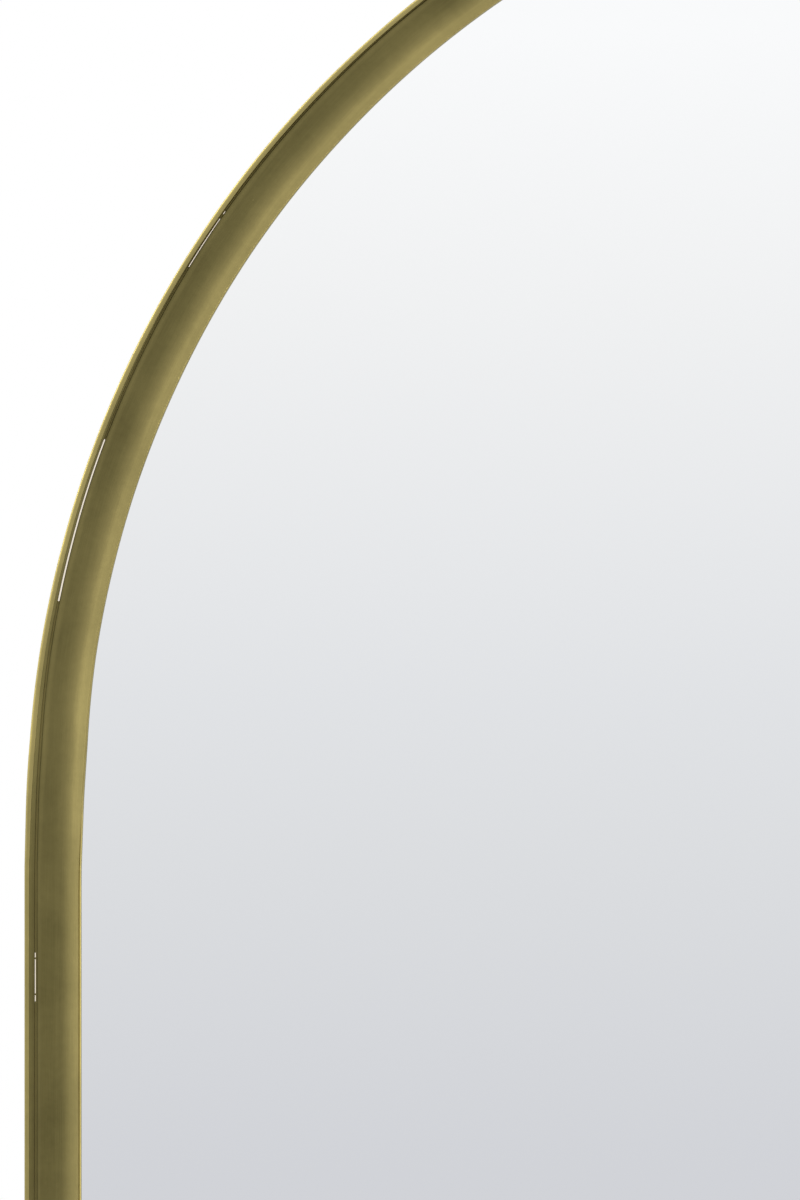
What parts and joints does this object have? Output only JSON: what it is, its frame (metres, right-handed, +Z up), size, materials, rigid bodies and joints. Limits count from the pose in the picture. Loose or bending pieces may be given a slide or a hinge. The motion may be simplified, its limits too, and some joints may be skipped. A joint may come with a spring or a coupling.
{
  "type": "leaning floor mirror",
  "caption": "Arched full-length floor mirror in a slim brass-finished two-piece frame, leaning back on a fold-out prop stand, with swinging D-ring hangers.",
  "frame": {"origin": "middle of the footprint's bounding box, on the floor", "axes": "+Z up, +X to the right as one faces the glass; the glass faces -Y and the mirror leans back towards +Y"},
  "size_m": [0.762, 0.3282, 1.7897],
  "materials": {
    "brass_rim": "satin brushed antique brass",
    "brass_face": "satin antique brass, toned darker on the flat",
    "silvered_glass": "silvered float glass",
    "zinc_steel": "zinc plated",
    "black_steel": "powder coated, matt black",
    "black_rubber": "matt",
    "white_foam": "closed-cell foam",
    "fibre_board": "bare medium-density fibreboard"
  },
  "bodies": {
    "frame": {"outer_band_arch": "brass_rim", "outer_band_bottom": "brass_rim", "inner_moulding_arch": "brass_face", "inner_moulding_bottom": "brass_face", "corner_key_left": "zinc_steel", "corner_key_right": "zinc_steel", "corner_key_screw_left_side": "zinc_steel", "corner_key_screw_left_bottom": "zinc_steel", "corner_key_screw_right_side": "zinc_steel", "corner_key_screw_right_bottom": "zinc_steel", "joining_screw_left": "zinc_steel", "joining_screw_right": "zinc_steel", "joining_screw_arch_right": "zinc_steel", "joining_screw_arch_left": "zinc_steel", "glass_gasket": "black_rubber", "mirror_glass": "silvered_glass", "foam_sheet": "white_foam", "backing_board": "fibre_board", "retaining_clip_1": "zinc_steel", "retaining_clip_2": "zinc_steel", "retaining_clip_3": "zinc_steel", "retaining_clip_4": "zinc_steel", "retaining_clip_5": "zinc_steel", "retaining_clip_6": "zinc_steel", "retaining_clip_7": "zinc_steel", "retaining_clip_8": "zinc_steel", "clip_screw_1": "zinc_steel", "clip_screw_2": "zinc_steel", "clip_screw_3": "zinc_steel", "clip_screw_4": "zinc_steel", "clip_screw_5": "zinc_steel", "clip_screw_6": "zinc_steel", "clip_screw_7": "zinc_steel", "clip_screw_8": "zinc_steel", "hanger_rail": "zinc_steel", "rail_screw_left": "zinc_steel", "rail_screw_right": "zinc_steel", "hanger_strap_left": "zinc_steel", "hanger_strap_right": "zinc_steel", "hanger_screw_left": "zinc_steel", "hanger_screw_right": "zinc_steel", "wall_bumper_left": "black_rubber", "wall_bumper_right": "black_rubber", "floor_foot_left": "black_rubber", "floor_foot_right": "black_rubber", "stand_bracket_left": "zinc_steel", "stand_bracket_right": "zinc_steel", "bracket_screw_left_upper": "zinc_steel", "bracket_screw_left_lower": "zinc_steel", "bracket_screw_right_upper": "zinc_steel", "bracket_screw_right_lower": "zinc_steel", "pivot_bolt_left": "zinc_steel", "pivot_bolt_right": "zinc_steel"},
    "stand": {"stand_hoop": "black_steel", "stand_sleeve_left": "black_rubber", "stand_sleeve_right": "black_rubber"},
    "ring_left": {"hanger_ring_left": "zinc_steel"},
    "ring_right": {"hanger_ring_right": "zinc_steel"}
  },
  "joints": [
    {"name": "stand_fold", "type": "hinge", "parent": "frame", "child": "stand", "pos_m": [0, 0.0473, 1.13978], "axis": [1, 0, 0], "range_deg": [-14.4, 0]},
    {"name": "ring_left_swing", "type": "hinge", "parent": "frame", "child": "ring_left", "pos_m": [-0.24, 0.07107, 1.31522], "axis": [1, 0, 0], "range_deg": [-9, 160]},
    {"name": "ring_right_swing", "type": "hinge", "parent": "frame", "child": "ring_right", "pos_m": [0.24, 0.07107, 1.31522], "axis": [1, 0, 0], "range_deg": [-9, 160]}
  ]
}
